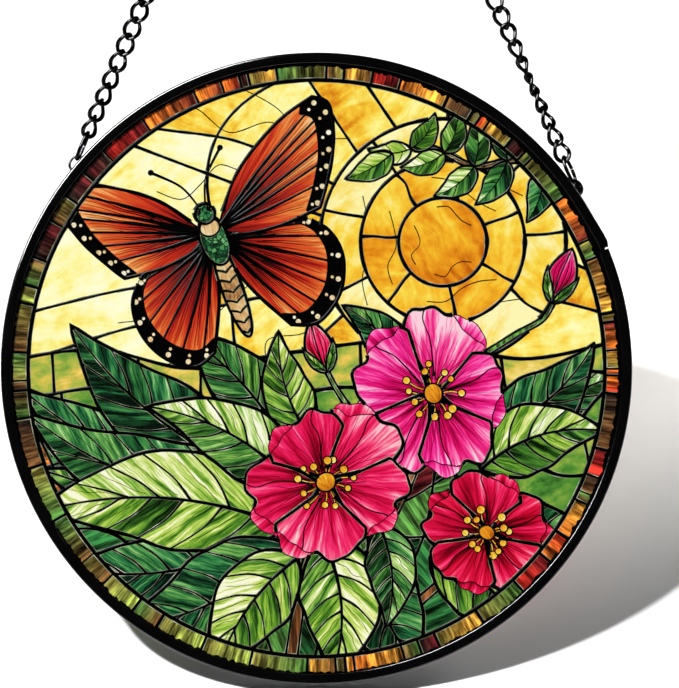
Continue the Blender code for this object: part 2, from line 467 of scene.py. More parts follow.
for side, strand in strands.items():
    half_mouth = JUMP_MOUTH / 2 / JUMP_HALF_WIDTH
    opened = (half_mouth - math.pi / 2, 2 * (math.pi - half_mouth))
    shape = bent_wire(JUMP_HALF_LENGTH, JUMP_HALF_WIDTH, JUMP_WIRE / 2 + PLATING_BUILD, 16, 48, *opened)
    place = Matrix.Translation((JUMP_HALF_LENGTH, 0, 0)) @ Matrix.Rotation(strand.jump_turn, 4, "X")
    node = "jump_link_" + side
    piece(node, shape, strand.matrix @ place, plating, node)


# --------------------------------------
# The chains
# Curb chain of black plated steel wire. Each link's ends are twisted opposite ways, so that it lies
# flat. Both strands turn slowly as they rise, to enter the ring squarely, and the right one turns over.

LINK_TWIST = math.radians(45)

for side, strand in strands.items():
    shape = bmesh.new()
    for along, turn in strand.links:
        link = bent_wire(LINK_HALF_LENGTH, LINK_HALF_WIDTH, LINK_WIRE / 2 + PLATING_BUILD, 12, 28)
        for vert in link.verts:
            twist = LINK_TWIST * vert.co.x / LINK_HALF_LENGTH
            vert.co.rotate(Matrix.Rotation(turn + twist, 3, "X"))
            vert.co.x += along
        mesh = bpy.data.meshes.new("link")
        link.to_mesh(mesh)
        link.free()
        shape.from_mesh(mesh)
        bpy.data.meshes.remove(mesh)
    piece("chain_" + side, shape, strand.matrix, plating, "chain_" + side)


# --------------------------------------
# The hanging ring
# A welded ring of thicker black plated wire, which both strands hang from.

shape = bent_wire(RING_RADIUS, RING_RADIUS, RING_WIRE / 2, 24, 96)
upright = Matrix.Translation(RING_CENTRE) @ Matrix.Rotation(math.pi / 2, 4, "X")
piece("hanging_ring", shape, upright, plating, "hang_ring")


# --------------------------------------
# The pane's black margin
# The pane is one round sheet with its picture printed right through. Round the picture the print is
# plain black, out to the edge that the channel holds.

# The picture is drawn in millimetres, x to the right, y up and z towards the viewer, from its centre.
PANE_RADIUS = (pane_high.x - pane_low.x) / 2 / MM
PICTURE_RADIUS = 91.2
CIRCLE_STEPS = 256
# Half the pane's thickness
DEPTH = (pane_high.y - pane_low.y) / 2 / MM
DRAWING = (
    Matrix.Translation(pane_centre) @ Matrix.Rotation(math.pi / 2, 4, "X") @ Matrix.Scale(MM, 4)
)

# Thick ink, deep black, smooth and a little uneven in its gloss
ink = coat(
    "black print",
    cloud=(260, 3),
    stops=[(0.0, 0.0005, 0.0005, 0.0006), (1.0, 0.0014, 0.0013, 0.0014)],
    gloss=(0.3, 0.7, 0.12, 0.20),
    grain=(260, 3),
    relief=(0.04 * MM, 0.5),
    Specular_IOR_Level=0.03,
)


def pane_piece(name, shape, material, smooth=40):
    """A finished piece of the pane, from a bmesh in the drawing's millimetres."""
    piece(name, shape, DRAWING, material, "pane", smooth)


def black_margin(inner, outer):
    shape = bmesh.new()
    corners = ((inner, -DEPTH), (outer, -DEPTH), (outer, DEPTH), (inner, DEPTH))
    shape.faces.new([shape.verts.new((r, 0, z)) for r, z in corners])
    spin(shape, (0, 0, 1), 2 * math.pi, CIRCLE_STEPS, True)
    inside = [face for face in shape.faces if abs(face.normal.x) < 1e-6 and abs(face.normal.z) < 1e-6]
    bmesh.ops.delete(shape, geom=inside, context="FACES_ONLY")
    pane_piece("black_margin", shape, ink)


black_margin(PICTURE_RADIUS, PANE_RADIUS)


# --------------------------------------
# The border
# A ring of short coloured patches round the picture, with streaks that run outwards and a ragged outer
# edge, as torn strips of glass have. Black gaps part them, and each has a fine pale rim on two sides,
# a painted highlight that stands for the glint on the glass's edge.

# Radii and depths are in millimetres, and patches' widths and gaps are in degrees.
BORDER_INNER = 92.1
BORDER_OUTER = 96.2
BORDER_NARROWING = 1.0
NARROWEST_AT = math.radians(38)
PATCH_WIDTHS = (1.8, 3.5, 5.5, 7.5, 9.5, 11.0)
PATCH_GAPS = (0.20, 0.42)
PATCH_TONES = (0.36, 0.64)
COLUMN_WIDTH = 0.3
COARSE_TEARS, COARSE_DEPTH = 24, 0.7
FINE_TEARS, FINE_DEPTH = 75, 0.8
PATCH_SINK = 0.1
PATCH_RELIEF = 0.04
GLINT_SINK = 0.12
GLINT_WIDTH = 0.20
PATCH_COLOURS = {
    "dark": (0.030, 0.018, 0.014), "brown": (0.18, 0.080, 0.028), "olive": (0.23, 0.20, 0.045),
    "green": (0.075, 0.21, 0.045), "lime": (0.38, 0.48, 0.09), "amber": (0.88, 0.42, 0.060),
    "orange": (0.84, 0.20, 0.026), "red": (0.58, 0.026, 0.018), "maroon": (0.11, 0.010, 0.014),
}
# How much the strokes lighten or darken a tile that brings its own colour
OWN_COLOUR_STOPS = [
    (0.0, 0.03, 0.03, 0.03), (0.35, 0.38, 0.35, 0.32), (0.6, 1.0, 1.0, 0.95), (1.0, 2.6, 2.7, 2.2),
]
OWN_COLOUR_WEIGHTS = dict(Fine=0.62, Broad=0.85)
# Each patch runs from one colour at its start to another at its end.
COOL_PATCHES = ("brown olive", "olive green", "dark brown", "green olive", "olive lime", "dark olive")
COOL_PATCHES += ("brown green",)
WARM_PATCHES = ("maroon orange", "amber orange", "maroon red", "dark maroon", "red orange")
WARM_PATCHES += ("brown amber", "olive amber", "dark maroon")


def brushed_glass():
    """The shader group that every coloured tile shares. Its strokes run outwards from each tile's own
    grain centre, and it gives the strokes, the tile's tone and how far along its grain a point lies."""
    group = bpy.data.node_groups.new("brushed glass", "ShaderNodeTree")
    for name in ("Stroke width", "Stroke length", "Waviness"):
        group.interface.new_socket(name=name, in_out="INPUT", socket_type="NodeSocketFloat")
    for name in ("Tone", "Shade", "Along", "Fine", "Broad", "Mottle"):
        group.interface.new_socket(name=name, in_out="OUTPUT", socket_type="NodeSocketFloat")
    given = group.nodes.new("NodeGroupInput").outputs
    result = group.nodes.new("NodeGroupOutput").inputs

    def vector(operation, first, second):
        made = add(group, "VectorMath", {0: first, 1: second}, operation=operation)
        return made.outputs["Value" if operation in ("DOT_PRODUCT", "LENGTH") else "Vector"]

    def maths(operation, first, second=0.0):
        return add(group, "Math", {0: first, 1: second}, operation=operation).outputs[0]

    def apart(value):
        return add(group, "SeparateXYZ", {0: value}).outputs

    def together(x, y, z):
        return add(group, "CombineXYZ", {0: x, 1: y, 2: z}).outputs[0]

    def tile(name):
        return add(group, "Attribute", attribute_name=name).outputs["Vector"]

    place = add(group, "TexCoord").outputs["Object"]
    print_tone, print_seed, print_shade = apart(tile("tile_print"))
    near, far, reach = apart(tile("grain_reach"))
    offset = together(maths("MULTIPLY", print_seed, 7.0), print_seed, maths("MULTIPLY", print_seed, 3.0))
    seeded = vector("ADD", place, offset)
    sway = add(group, "TexNoise", {"Vector": seeded, "Scale": 130.0, "Detail": 2.0}).outputs["Color"]
    sway = vector("SUBTRACT", sway, (0.5, 0.5, 0.5))
    sway = add(group, "VectorMath", {0: sway, "Scale": given["Waviness"]}, operation="SCALE").outputs[0]
    local = vector("SUBTRACT", vector("ADD", place, sway), tile("grain_centre"))
    axis = tile("grain_axis")
    along = vector("DOT_PRODUCT", local, axis)
    across = apart(vector("CROSS_PRODUCT", axis, local))["Y"]
    distance = vector("LENGTH", together(along, across, 0.0), (0, 0, 0))
    angle = maths("ARCTAN2", across, along)
    strokes = together(
        maths("DIVIDE", distance, given["Stroke length"]),
        maths("DIVIDE", maths("MULTIPLY", angle, reach), given["Stroke width"]),
        maths("MULTIPLY", print_seed, 57.0),
    )
    brushed = {
        "Fine": noise_at(group, strokes, 1.0, 3.0, 0.6),
        "Broad": noise_at(group, vector("ADD", strokes, (31.0, 17.0, 5.0)), 0.3, 2.0),
        "Mottle": noise_at(group, seeded, 170.0, 4.0, 0.6),
    }
    group.links.new(print_tone, result["Tone"])
    group.links.new(print_shade, result["Shade"])
    group.links.new(between(group, distance, near, far), result["Along"])
    for name, value in brushed.items():
        group.links.new(between(group, value, 0.3, 0.7), result[name])
    return group


glass_group = brushed_glass()


def glass(name, width, length, waviness):
    """A glossy printed glass with strokes of this size, in millimetres, ready for its colours."""
    made, tree, shader, place = finish(
        name, Specular_IOR_Level=0.3, Coat_Weight=0.1, Coat_Roughness=0.08
    )
    brush = tree.nodes.new("ShaderNodeGroup")
    brush.node_tree = glass_group
    sizes = {"Stroke width": width, "Stroke length": length, "Waviness": waviness}
    for key, size in sizes.items():
        brush.inputs[key].default_value = size * MM
    roughness = between(tree, brush.outputs["Mottle"], 0, 1, 0.10, 0.18)
    tree.links.new(roughness, shader.inputs["Roughness"])
    bump(tree, shader, noise_at(tree, place, 110, 2), 0.25 * MM, 0.25)
    return made, tree, shader, brush.outputs


def weigh(tree, start, terms):
    """start plus each value, less its middle, times its weight."""
    total = start
    for value, weight in terms:
        term = add(tree, "Math", {0: value, 1: weight, 2: -weight / 2}, operation="MULTIPLY_ADD")
        total = add(tree, "Math", {0: total, 1: term.outputs[0]}, operation="ADD").outputs[0]
    return total


def mix_colour(tree, share, first, second, blend="MIX"):
    made = add(tree, "Mix", {0: share, 6: first, 7: second}, data_type="RGBA", blend_type=blend)
    return made.outputs[2]


def streaky_glass(name, strokes, weights, stops, other_stops=None):
    """Glass whose colour follows each tile's tone and its strokes by these weights. With two lists of
    stops, the tile's shade mixes the two colours. Without any, the tile brings its own colour."""
    made, tree, shader, brush = glass(name, *strokes)
    value = weigh(tree, brush["Tone"], [(brush[key], weight) for key, weight in weights.items()])
    colour = ramp(tree, value, stops or OWN_COLOUR_STOPS)
    if other_stops:
        colour = mix_colour(tree, brush["Shade"], colour, ramp(tree, value, other_stops))
    if not stops:
        own = add(tree, "Attribute", attribute_name="tile_colour").outputs["Vector"]
        colour = mix_colour(tree, 1.0, own, colour, "MULTIPLY")
    tree.links.new(colour, shader.inputs["Base Color"])
    return made


def tile_layers(shape):
    """The values that a tile carries to its material."""
    names = ("grain_centre", "grain_axis", "grain_reach", "tile_print", "tile_colour")
    return {name: shape.verts.layers.float_vector.new(name) for name in names}


def mark_tile(layers, verts, centre, tone, seed, shade=0.0, colour=(0, 0, 0)):
    """Gives a tile's points its grain centre, tone, seed, shade and colour, measured in the drawing."""
    centre = Vector(centre).to_2d()
    middle = sum((vert.co.to_2d() for vert in verts), Vector((0, 0))) / len(verts)
    axis = (middle - centre).normalized()
    reach = [(vert.co.to_2d() - centre).length for vert in verts]
    values = {
        "grain_centre": DRAWING @ Vector((centre.x, centre.y, 0)),
        "grain_axis": Vector((axis.x, 0, axis.y)),
        "grain_reach": Vector((min(reach), max(reach), (middle - centre).length)) * MM,
        "tile_print": Vector((tone, seed, shade)),
        "tile_colour": Vector(colour),
    }
    for vert in verts:
        for name, value in values.items():
            vert[layers[name]] = value


def points_of(geometry):
    return [found for found in geometry if isinstance(found, bmesh.types.BMVert)]


def raise_tiles(shape, rise):
    """Makes flat tiles solid, this thick."""
    top = bmesh.ops.extrude_face_region(shape, geom=shape.faces[:])["geom"]
    bmesh.ops.translate(shape, vec=(0, 0, rise), verts=points_of(top))


def both_faces(shape):
    """Copies what is on the front face to the back one, seen from behind."""
    made = bmesh.ops.duplicate(shape, geom=shape.verts[:] + shape.edges[:] + shape.faces[:])["geom"]
    bmesh.ops.scale(shape, vec=(1, 1, -1), verts=points_of(made))


# Pale print that stands for the glint on the glass pieces' edges, a painted highlight. It comes and goes.
painted_glint_print = coat(
    "painted glint print",
    cloud=(240, 3),
    stops=[(0.35, 0.05, 0.07, 0.03), (0.55, 0.24, 0.27, 0.16), (0.75, 0.78, 0.78, 0.62)],
    gloss=(0.3, 0.7, 0.25, 0.4),
    grain=(240, 3),
    relief=(0.03 * MM, 0.4),
    Specular_IOR_Level=0.3,
)


def border_end(theta):
    """How far out the ragged print reaches. It lies off centre, so less at the upper right."""
    torn = noise.noise(Vector((theta * COARSE_TEARS, 0, 1))) * COARSE_DEPTH
    torn += noise.noise(Vector((theta * FINE_TEARS, 0, 5))) * FINE_DEPTH
    return BORDER_OUTER + torn - BORDER_NARROWING * max(0, math.cos(theta - NARROWEST_AT))


def border():
    draws = random.Random(4)
    patches, rims = bmesh.new(), bmesh.new()
    layers = tile_layers(patches)
    angle = 0.0
    while angle < 359.0:
        width = min(draws.choice(PATCH_WIDTHS), 360.0 - angle)
        here = math.radians(angle)
        sector = noise.noise(Vector((math.cos(here), math.sin(here), 3)) * 1.6)
        warm = sector + draws.uniform(-0.3, 0.3) > 0.02
        colours = draws.choice(WARM_PATCHES if warm else COOL_PATCHES).split()
        start, end = (Vector(PATCH_COLOURS[name]) for name in colours[:: draws.choice((-1, 1))])
        columns = max(4, round(width / COLUMN_WIDTH))
        gap = draws.uniform(*PATCH_GAPS)
        # The rims are pale strips that lie a little lower than each patch and reach past it on its inner
        # side and its first end: a painted highlight of the glass's edge.
        for shape, rim, sink in ((patches, 0.0, PATCH_SINK), (rims, GLINT_WIDTH, GLINT_SINK)):
            made = bmesh.ops.create_grid(shape, x_segments=columns, y_segments=2, size=0.5)["verts"]
            shares = [vert.co.x + 0.5 for vert in made]
            begin, stop = angle + gap - math.degrees(rim / BORDER_INNER), angle + width - gap
            for vert, share in zip(made, shares):
                theta = math.radians(begin + share * (stop - begin))
                inner = BORDER_INNER - rim
                radius = inner + (vert.co.y + 0.5) * (border_end(theta) - inner)
                vert.co = (radius * math.cos(theta), radius * math.sin(theta), DEPTH - sink)
            if shape is patches:
                mark_tile(layers, made, (0, 0), draws.uniform(*PATCH_TONES), draws.random())
                for vert, share in zip(made, shares):
                    vert[layers["tile_colour"]] = start.lerp(end, share)
        angle += width
    patch_glass = streaky_glass("border glass", (0.75, 6.0, 0.5), OWN_COLOUR_WEIGHTS, None)
    for name, shape, rise, material in (
        ("border_patches", patches, PATCH_SINK + PATCH_RELIEF, patch_glass),
        ("border_glints", rims, GLINT_SINK + PATCH_RELIEF / 2, painted_glint_print),
    ):
        raise_tiles(shape, rise)
        both_faces(shape)
        pane_piece(name, shape, material)


border()


# --------------------------------------
# The sky
# The picture starts with the sky: cream and yellow opal glass in large panes that fan out from the
# sun, with a few hair-fine cracks. Everything after it is laid over it.

MAIN_LINE = 0.55
SPLIT_LINE = 0.42
FINE_LINE = 0.17
POINT_STEP = 1.3
SUN = Vector((40, 40))

drawing = []
materials = {}


def curve_through(points):
    """Points about one step apart along a smooth curve through the given ones."""
    knots = [Vector(point) for point in points]
    made = []
    for number in range(len(knots) - 1):
        a, b, c, d = (knots[min(max(number + shift, 0), len(knots) - 1)] for shift in (-1, 0, 1, 2))
        parts = max(2, round((c - b).length / POINT_STEP))
        for part in range(parts):
            t = part / parts
            square = (2 * a - 5 * b + 4 * c - d) * t**2
            cube = (3 * b - a - 3 * c + d) * t**3
            made.append(0.5 * (2 * b + (c - a) * t + square + cube))
    return made + [knots[-1]]


def polar(centre, radius, degrees):
    turn = math.radians(degrees)
    return Vector(centre) + Vector((math.cos(turn), math.sin(turn))) * radius


def circle(centre, radius, steps=None):
    steps = steps or max(12, round(2 * math.pi * radius / POINT_STEP))
    return [polar(centre, radius, 360 * step / steps) for step in range(steps)]


def plain(at):
    return 0.0


def no_colour(at):
    return 0, 0, 0


def draw(
    name, outline, grain, tone, shade=plain, colour=no_colour, line=MAIN_LINE, splits=(), folds=()
):
    """Lays a shape over the drawing. Splits part it into tiles and folds are only drawn on it: each is
    (points, half width at its start, half width at its end). grain, tone, shade and colour are functions
    of a tile's middle."""
    if sum(a.x * b.y - b.x * a.y for a, b in zip(outline, outline[1:] + outline[:1])) < 0:
        outline = outline[::-1]
    laid = SimpleNamespace(name=name, outline=outline, line=line, splits=splits, folds=folds)
    laid.grain, laid.tone, laid.shade, laid.colour = grain, tone, shade, colour
    drawing.append(laid)


def level(low, high, seed):
    """A tone that is drawn anew for each tile."""
    draws = random.Random(seed)
    return lambda at: draws.uniform(low, high)


def away_from(centre):
    return lambda at: Vector(centre)


def slanted(degrees, spread, seed, far=90):
    """A nearly straight grain, turned a little differently in each tile."""
    draws = random.Random(seed)
    return lambda at: polar(at, far, 180 + degrees + draws.uniform(-spread, spread))


def wavy(start, end, sway, seed, knots=4):
    """A wandering line from start to end."""
    draws = random.Random(seed)
    start, end = Vector(start), Vector(end)
    side = Vector((start.y - end.y, end.x - start.x)).normalized()
    inner = [start.lerp(end, part / knots) + side * sway * draws.uniform(-1, 1) for part in range(1, knots)]
    return curve_through([start, *inner, end])


def even(path, half_width):
    """A split or fold of one width."""
    return path, half_width, half_width


materials["picture_sky"] = streaky_glass(
    "opal sky glass",
    (1.1, 9.0, 5.0),
    dict(Mottle=0.42, Broad=0.34, Fine=0.14, Along=0.26),
    [
        (0.0, 0.66, 0.20, 0.008), (0.17, 0.80, 0.39, 0.018), (0.34, 0.89, 0.58, 0.045),
        (0.50, 0.92, 0.75, 0.14), (0.66, 0.93, 0.85, 0.28), (0.82, 0.95, 0.90, 0.44),
        (1.0, 0.96, 0.93, 0.62),
    ],
)


def sky():
    splits = []
    for number, degrees in enumerate((-28, -8, 14, 36, 62, 88, 112, 134, 152, 168, 184, 200, 216)):
        ends = polar(SUN, 38, degrees), polar(SUN, 175, degrees + 6 * (-1) ** number)
        splits.append(even(wavy(*ends, 4, number), SPLIT_LINE))
    arc = [polar(SUN, 74 + 5 * math.sin(degrees / 11), degrees) for degrees in range(95, 235, 4)]
    splits.append(even(curve_through(arc), SPLIT_LINE))
    folds = []
    for number in range(14):
        degrees = 60 + number * 12
        start = polar(SUN, 44 + 9 * (number % 3), degrees)
        end = polar(SUN, 92 + 7 * (number % 4), degrees + 14)
        folds.append(even(wavy(start, end, 5, 50 + number, 5), FINE_LINE))
    draws = random.Random(5)

    def tone(at):
        """Golden near the sun and cream far from it."""
        return 0.40 + 0.34 * min(1, ((at - SUN).length - 38) / 60) + draws.uniform(-0.26, 0.22)

    whole = circle((0, 0), PICTURE_RADIUS, CIRCLE_STEPS)
    draw("picture_sky", whole, slanted(25, 40, 3), tone, splits=splits, folds=folds)


sky()


# --------------------------------------
# The sun
# An amber disc with two wide golden rings round it, each cut into panes as a glazier cuts an arc.

materials["picture_sun"] = streaky_glass(
    "amber glass",
    (1.2, 8.0, 6.0),
    dict(Mottle=0.34, Broad=0.34, Fine=0.14, Along=0.30),
    [
        (0.0, 0.48, 0.10, 0.004), (0.22, 0.74, 0.25, 0.008), (0.45, 0.86, 0.45, 0.020),
        (0.68, 0.90, 0.66, 0.07), (1.0, 0.93, 0.86, 0.42),
    ],
)

# Each ring's radius, its darkest and lightest tone, and how many cuts it has
SUN_RINGS = ((39, 0.55, 0.98, 9), (26, 0.34, 0.66, 7), (14, 0.10, 0.30, 0))

for number, (radius, low, high, cuts) in enumerate(SUN_RINGS):
    splits = []
    for cut in range(cuts):
        degrees = 360 * cut / cuts + 17 * number
        ends = polar(SUN, radius * 0.3, degrees), polar(SUN, radius * 1.02, degrees + 5)
        splits.append(even(wavy(*ends, 0.8, cut), SPLIT_LINE))
    folds = []
    for turn in (30, 150, 255):
        ends = polar(SUN, radius * 0.75, turn), polar(SUN, radius * 0.8, turn + 70)
        folds.append(even(wavy(*ends, 2, turn), FINE_LINE))
    tone = level(low, high, 20 + number)
    draw("picture_sun", circle(SUN, radius), slanted(60, 70, number), tone, splits=splits, folds=folds)


# --------------------------------------
# The hills
# Three low ridges in olive, green and amber glass, cut by a few slanting lines.

materials["picture_hills"] = streaky_glass(
    "olive glass",
    (1.4, 8.0, 6.0),
    dict(Mottle=0.40, Broad=0.30, Fine=0.16),
    [
        (0.0, 0.024, 0.10, 0.014), (0.25, 0.070, 0.24, 0.030), (0.45, 0.18, 0.34, 0.045),
        (0.62, 0.40, 0.45, 0.065), (0.8, 0.72, 0.52, 0.08), (1.0, 0.85, 0.68, 0.20),
    ],
)
BELOW_PICTURE = [Vector((100, -100)), Vector((-100, -100))]

# Each ridge's line, its darkest and lightest tone, and its seed
RIDGES = (
    (((-100, 2), (-70, 6), (-40, 0), (-8, 5), (30, 9), (66, 3), (100, 10)), 0.50, 0.82, 11),
    (((-100, -12), (-66, -6), (-30, -13), (10, -6), (48, -14), (80, -7), (100, -10)), 0.26, 0.52, 12),
    (((-100, -30), (-50, -22), (0, -30), (52, -24), (78, -34), (100, -30)), 0.10, 0.34, 13),
)

for top, low, high, seed in RIDGES:
    draws = random.Random(seed)
    splits = []
    for x in range(-84, 96, 24):
        x += draws.uniform(-6, 6)
        foot = (x + draws.uniform(-22, 22), -100)
        splits.append(even(wavy((x, 20), foot, 3, seed + x), SPLIT_LINE))
    folds = []
    for x in range(-80, 70, 30):
        folds.append(even(wavy((x, -4 - seed), (x + 26, -16 - seed), 3, seed * 7 + x), FINE_LINE))
    ridge = curve_through(top) + BELOW_PICTURE
    tone = level(low, high, seed + 30)
    draw("picture_hills", ridge, slanted(15, 30, seed), tone, splits=splits, folds=folds)


# --------------------------------------
# The undergrowth
# Small scraps of glass fill the gaps low down between the leaves: dark green and olive, with a little
# maroon and orange among them.

UNDERGROWTH_MIX = ("green", "forest", "forest", "forest", "olive", "maroon", "green", "forest", "orange")
PATCH_COLOURS["forest"] = (0.022, 0.13, 0.036)
materials["picture_undergrowth"] = streaky_glass("scrap glass", (0.7, 7.0, 0.5), OWN_COLOUR_WEIGHTS, None)


def undergrowth():
    draws = random.Random(31)
    top = ((-100, -16), (-70, -20), (-36, -14), (-8, -22), (18, -26), (44, -34), (70, -58), (100, -64))
    splits = []
    for number in range(9):
        x = -92 + number * 23 + draws.uniform(-4, 4)
        splits.append(even(wavy((x, -8), (x * 0.55, -96), 6, 300 + number, 4), 0.40))
    for number in range(3):
        y = -36 - number * 21
        splits.append(even(wavy((-96, y), (96, y + draws.uniform(-6, 6)), 9, 330 + number, 8), 0.36))
    draw(
        "picture_undergrowth",
        curve_through(top) + BELOW_PICTURE,
        slanted(70, 60, 32, 60),
        level(0.32, 0.62, 33),
        colour=lambda at: PATCH_COLOURS[draws.choice(UNDERGROWTH_MIX)],
        splits=splits,
    )


undergrowth()


# --------------------------------------
# The stems
# Brown stems carry the blossoms, green ones the buds, and a brown twig hangs in from the top right.

STEM_BROWN = (0.16, 0.055, 0.018)
STEM_GREEN = (0.07, 0.20, 0.03)
materials["picture_stems"] = streaky_glass("brown stem glass", (0.5, 9.0, 0.5), OWN_COLOUR_WEIGHTS, None)


def ribbon(points, start_width, end_width):
    """The outline of a band along a smooth curve, with its half widths at both ends."""
    path = curve_through(points)
    last = len(path) - 1
    left, right = [], []
    for step, point in enumerate(path):
        way = (path[min(step + 1, last)] - path[max(step - 1, 0)]).normalized()
        out = Vector((-way.y, way.x)) * (start_width + (end_width - start_width) * step / last)
        left.append(point + out)
        right.append(point - out)
    return left + right[::-1]


def stem(points, start_width, end_width, colour, seed):
    draw(
        "picture_stems",
        ribbon(points, start_width, end_width),
        slanted(90, 5, seed, 60),
        level(0.35, 0.6, seed),
        colour=lambda at: colour,
        line=0.34,
    )


stem(((-8, -92), (-4, -66), (2, -44), (3, -36)), 1.9, 1.1, STEM_BROWN, 0)
stem(((4, -92), (16, -62), (30, -34), (37, -8)), 1.9, 1.1, STEM_BROWN, 1)
stem(((12, -92), (30, -76), (46, -62), (54, -52)), 1.6, 1.1, STEM_BROWN, 2)


# --------------------------------------
# The leaves
# Broad pointed leaves in streaky green glass, from near black to lime and white. A midrib and side
# veins part each into panes, and their streaks run out along the veins.

materials["picture_leaves"] = streaky_glass(
    "streaky green glass",
    (0.70, 9.0, 2.0),
    dict(Fine=0.44, Broad=0.66, Mottle=0.14, Along=0.16),
    [
        (0.0, 0.001, 0.006, 0.003), (0.22, 0.005, 0.040, 0.016), (0.42, 0.016, 0.14, 0.042),
        (0.60, 0.060, 0.28, 0.075), (0.76, 0.20, 0.47, 0.15), (0.90, 0.50, 0.68, 0.36),
        (1.0, 0.82, 0.88, 0.68),
    ],
    [
        (0.0, 0.003, 0.010, 0.002), (0.22, 0.018, 0.070, 0.007), (0.42, 0.065, 0.21, 0.017),
        (0.60, 0.21, 0.41, 0.035), (0.76, 0.46, 0.62, 0.10), (0.90, 0.74, 0.78, 0.32),
        (1.0, 0.88, 0.88, 0.66),
    ],
)
LEAF_STEPS = 32
# Base, tip, half width, bend, tone and shade. Leaves behind the others come first.
LEAVES = (
    ((-30, -40), (-94, -6), 13, 4, 0.34, 0.1),
    ((-34, -62), (-88, -32), 11, -4, 0.50, 0.6),
    ((-24, -58), (-84, -62), 12, 5, 0.30, 0.0),
    ((-20, -66), (-52, -94), 12, 5, 0.44, 0.3),
    ((58, -28), (97, -2), 10, 4, 0.44, 0.4),
    ((60, -60), (88, -66), 9, 3, 0.56, 0.7),
    ((-18, -34), (-78, 14), 14, 6, 0.28, 0.0),
    ((-8, -28), (-44, 12), 11, -4, 0.46, 0.5),
    ((-2, -22), (-12, 12), 8, 3, 0.62, 1.0),
    ((30, -4), (8, 20), 7, -3, 0.36, 0.2),
    ((50, -22), (88, 8), 11, -5, 0.30, 0.1),
    ((52, -32), (92, -20), 11, 5, 0.58, 0.9),
    ((50, -46), (90, -50), 12, -5, 0.34, 0.1),
    ((36, -60), (68, -88), 12, 5, 0.60, 1.0),
    ((16, -58), (36, -98), 13, -4, 0.28, 0.0),
    ((2, -54), (4, -100), 13, 5, 0.64, 1.0),
    ((-10, -42), (-92, -14), 15, 8, 0.42, 0.2),
    ((-10, -50), (-90, -46), 16, -7, 0.64, 1.0),
    ((-8, -56), (-64, -82), 16, 6, 0.32, 0.1),
    ((-6, -60), (-32, -98), 12, -4, 0.70, 1.0),
    ((-6, -38), (-54, -12), 11, -5, 0.62, 0.6),
    ((20, -50), (22, -82), 8, 3, 0.44, 0.4),
)


def leaf(base, tip, half_width, bend, tone, shade, veins=5, seed=0):
    """One leaf. bend is how far its midrib bows out at the middle, and shade runs from a cold green at 0
    to a warm one at 1."""
    base, tip = Vector(base), Vector(tip)
    axis = tip - base
    side = Vector((-axis.y, axis.x)).normalized()
    draws = random.Random(seed)
    places = [step / LEAF_STEPS for step in range(LEAF_STEPS + 1)]

    def rib(t):
        return base + axis * t + side * bend * 4 * t * (1 - t)

    def across(t):
        slope = axis + side * bend * 4 * (1 - 2 * t)
        return Vector((-slope.y, slope.x)).normalized()

    def half(t):
        return half_width * math.sin(math.pi * t**0.72) ** 0.9 * (1 - 0.25 * t**4)

    def edge(t, way):
        ripple = 1 + 0.03 * math.sin(t * 19 + seed + way)
        return rib(t) + across(t) * way * half(t) * ripple

    outline = [edge(t, 1) for t in places[:-1]] + [edge(1 - t, -1) for t in places[:-1]]
    heft = min(1.0, max(0.35, half_width / 10))
    splits = [([rib(t) for t in places], 0.62 * heft, 0.25 * heft)]
    folds = []
    for number in range(veins):
        for way in (1, -1):
            at = round(LEAF_STEPS * (0.10 + 0.66 * (number + 0.25 * (way > 0)) / veins)) / LEAF_STEPS
            out = min(at + 0.2, 0.97)
            start, end = rib(at), rib(out) + across(out) * way * half(out) * 1.05
            middle = start.lerp(end, 0.5) - axis.normalized() * 0.10 * (end - start).length
            splits.append((curve_through([start, middle, end]), 0.36 * heft, 0.20 * heft))
            if heft < 0.6:
                continue
            late = at + 0.055
            start, end = rib(late), rib(out + 0.03) + across(out) * way * half(out) * 0.8
            folds.append((wavy(start + across(late) * way * 1.2, end, 0.6, seed + number), 0.10, 0.07))

    def hand(at):
        """1 on one side of the midrib and -1 on the other, and the midrib's own place there."""
        t = min(places, key=lambda t: (rib(t) - at).length)
        return (1 if (at - rib(t)).dot(across(t)) > 0 else -1), t

    def grain(at):
        way, t = hand(at)
        run = (across(t) * way * 0.8 + axis.normalized()).normalized()
        return at - run * 45

    # The half of each leaf on its upper side is painted lighter and the other half darker: painted light
    # and shade.
    lit = 1 if across(0.5).y > 0 else -1
    draw(
        "picture_leaves",
        outline,
        grain,
        lambda at: tone - 0.03 + 0.12 * lit * hand(at)[0] + draws.uniform(-0.14, 0.14),
        shade=lambda at: min(1, max(0, shade + draws.uniform(-0.25, 0.25))),
        line=MAIN_LINE * (0.4 + 0.6 * heft),
        splits=splits,
        folds=folds,
    )


for number, given in enumerate(LEAVES):
    leaf(*given, seed=number)


def twig(points):
    """A hanging twig, with small leaves in pairs."""
    stem(points, 1.2, 0.5, STEM_BROWN, 9)
    path = curve_through(points)
    for number, share in enumerate((0.10, 0.30, 0.50, 0.70, 0.88)):
        at = path[round(share * (len(path) - 1))]
        for way in (1, -1):
            tip = polar(at, 19 - 6 * share, 190 + way * 62 - 18 * number)
            tone = 0.34 + 0.1 * number * (way > 0)
            leaf(at, tip, 4.6 - share, way * 1.5, tone, 0.25 * number, 2, 60 + number)
    leaf(path[-1], path[-1] + Vector((-15, -8)), 4.2, 1, 0.55, 0.8, 2, 71)


twig(((76, 62), (64, 66), (50, 64), (36, 70), (24, 68)))


# --------------------------------------
# The blossoms
# Three open wild roses and two buds in magenta, pink and red streaky glass. Each rose has five notched
# petals that overlap, fine fold lines from the heart, and a ring of golden stamens.

